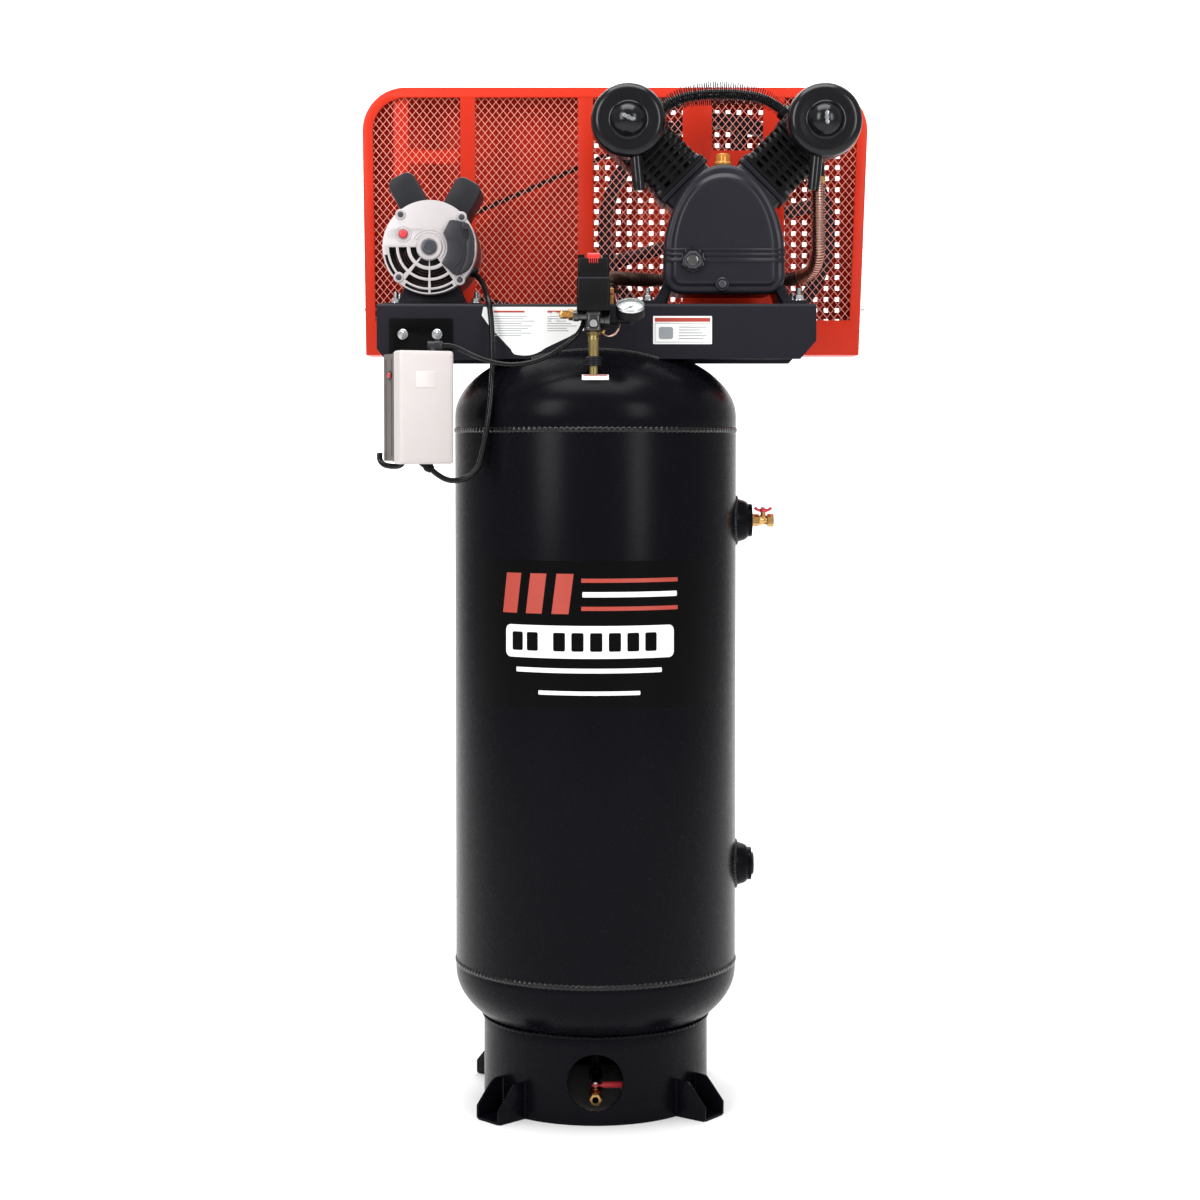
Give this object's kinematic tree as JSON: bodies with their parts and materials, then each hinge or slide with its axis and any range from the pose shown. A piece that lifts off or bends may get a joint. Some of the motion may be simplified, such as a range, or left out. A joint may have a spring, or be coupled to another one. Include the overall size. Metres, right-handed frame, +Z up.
{
  "type": "vertical tank air compressor",
  "caption": "Stationary air compressor: V-twin piston pump and electric motor on a deck over a tall upright receiver tank, with belt guard, pressure switch and starter box.",
  "frame": {"origin": "centre of the bounding box on the floor plane; the tank's axis is 36 mm to the -X side of it", "axes": "+Z up along the tank, -Y to the front where the pressure switch and sight glass are, +X to the pump and outlet side"},
  "size_m": [0.942, 0.512, 1.851],
  "materials": {
    "black_paint": "satin powder coat",
    "red_paint": "satin powder coat",
    "brass": "machined, slightly dull",
    "steel": "zinc plated",
    "cast_aluminium": "cast, light bead blast",
    "cast_iron": "painted black, satin",
    "copper": "drawn copper tube",
    "red_plastic": "semi gloss",
    "black_plastic": "fine grain, satin",
    "beige_plastic": "smooth, satin",
    "amber_plastic": "semi gloss",
    "white_enamel": "white dial face in a black case",
    "needle_paint": "matt",
    "clear_glass": "clear, with oil behind it",
    "rubber": "matt"
  },
  "bodies": {
    "machine": {"tank_shell": "black_paint", "base_ring": "black_paint", "foot_front_left": "black_paint", "foot_front_right": "black_paint", "foot_rear_left": "black_paint", "foot_rear_right": "black_paint", "port_boss_upper": "black_paint", "port_boss_lower": "black_paint", "outlet_valve_body": "brass", "lower_port_plug": "black_paint", "drain_valve_body": "brass", "platform": "black_paint", "motor_frame": "black_paint", "motor_front_bell": "cast_aluminium", "motor_rear_bell": "cast_aluminium", "motor_terminal_cover": "black_plastic", "motor_cradle": "black_paint", "capacitor_cover_left": "black_paint", "capacitor_cover_right": "black_paint", "drive_belt": "rubber", "crankcase": "cast_iron", "crankcase_cover": "cast_iron", "oil_sight_glass": "clear_glass", "oil_filler_cap": "amber_plastic", "cylinder_left": "cast_iron", "cylinder_right": "cast_iron", "head_left": "cast_iron", "head_right": "cast_iron", "air_filter_left": "black_plastic", "air_filter_right": "black_plastic", "intercooler_tube": "black_paint", "discharge_tube": "copper", "check_valve": "brass", "unloader_tube": "copper", "guard_front_frame": "red_paint", "guard_mesh": "red_paint", "guard_back": "red_paint", "pressure_switch": "black_plastic", "pressure_manifold": "steel", "riser_nipple": "brass", "pressure_gauge": "white_enamel", "safety_valve": "brass", "starter_box_base": "beige_plastic", "starter_box_cover": "beige_plastic", "starter_bracket": "black_paint", "switch_cable": "rubber", "motor_cable": "rubber"},
    "outlet_handle": {"outlet_valve_handle": "red_plastic"},
    "drain_lever": {"drain_valve_lever": "red_plastic"},
    "rotor": {"motor_rotor": "steel", "motor_pulley": "steel"},
    "reset_button": {"motor_reset_button": "red_plastic"},
    "crank": {"crankshaft": "steel", "flywheel": "cast_iron"},
    "left_piston": {"piston_left": "cast_aluminium"},
    "right_piston": {"piston_right": "cast_aluminium"},
    "pressure_knob": {"switch_knob": "red_plastic"},
    "needle": {"gauge_needle": "needle_paint"},
    "pull_ring": {"safety_pull_ring": "steel"},
    "start_button": {"starter_button": "red_plastic"}
  },
  "joints": [
    {"name": "crank_turn", "type": "hinge", "parent": "machine", "child": "crank", "pos_m": [0.191, 0, 1.585], "axis": [0, 1, 0], "continuous": true},
    {"name": "motor_turn", "type": "hinge", "parent": "machine", "child": "rotor", "pos_m": [-0.329, 0, 1.534], "axis": [0, 1, 0], "continuous": true},
    {"name": "left_piston_slide", "type": "slide", "parent": "machine", "child": "left_piston", "axis": [-0.7071, 0, 0.7071], "range_m": [-0.025, 0.025]},
    {"name": "right_piston_slide", "type": "slide", "parent": "machine", "child": "right_piston", "axis": [0.7071, 0, 0.7071], "range_m": [-0.025, 0.025]},
    {"name": "outlet_valve_turn", "type": "hinge", "parent": "machine", "child": "outlet_handle", "pos_m": [0.2673, 0, 1.068], "axis": [0, 0, 1], "range_deg": [0, 90]},
    {"name": "drain_valve_turn", "type": "hinge", "parent": "machine", "child": "drain_lever", "pos_m": [-0.036, -0.136, 0.054], "axis": [0, 0, -1], "range_deg": [0, 90]},
    {"name": "switch_knob_lift", "type": "slide", "parent": "machine", "child": "pressure_knob", "axis": [0, 0, 1], "range_m": [0, 0.007]},
    {"name": "reset_button_press", "type": "slide", "parent": "machine", "child": "reset_button", "axis": [0, 1, 0], "range_m": [0, 0.002], "stiffness_N_per_m": 300},
    {"name": "start_button_press", "type": "slide", "parent": "machine", "child": "start_button", "axis": [0.9063, 0.4226, 0], "range_m": [0, 0.002], "stiffness_N_per_m": 300},
    {"name": "safety_ring_pull", "type": "slide", "parent": "machine", "child": "pull_ring", "axis": [-1, 0, 0], "range_m": [0, 0.004], "stiffness_N_per_m": 400},
    {"name": "needle_turn", "type": "hinge", "parent": "machine", "child": "needle", "pos_m": [0.024, -0.22127, 1.42243], "axis": [0, 0.515, -0.8572], "range_deg": [0, 270]}
  ],
  "couplings": [
    {"joint": "motor_turn", "follows": "crank_turn", "ratio": 4}
  ]
}
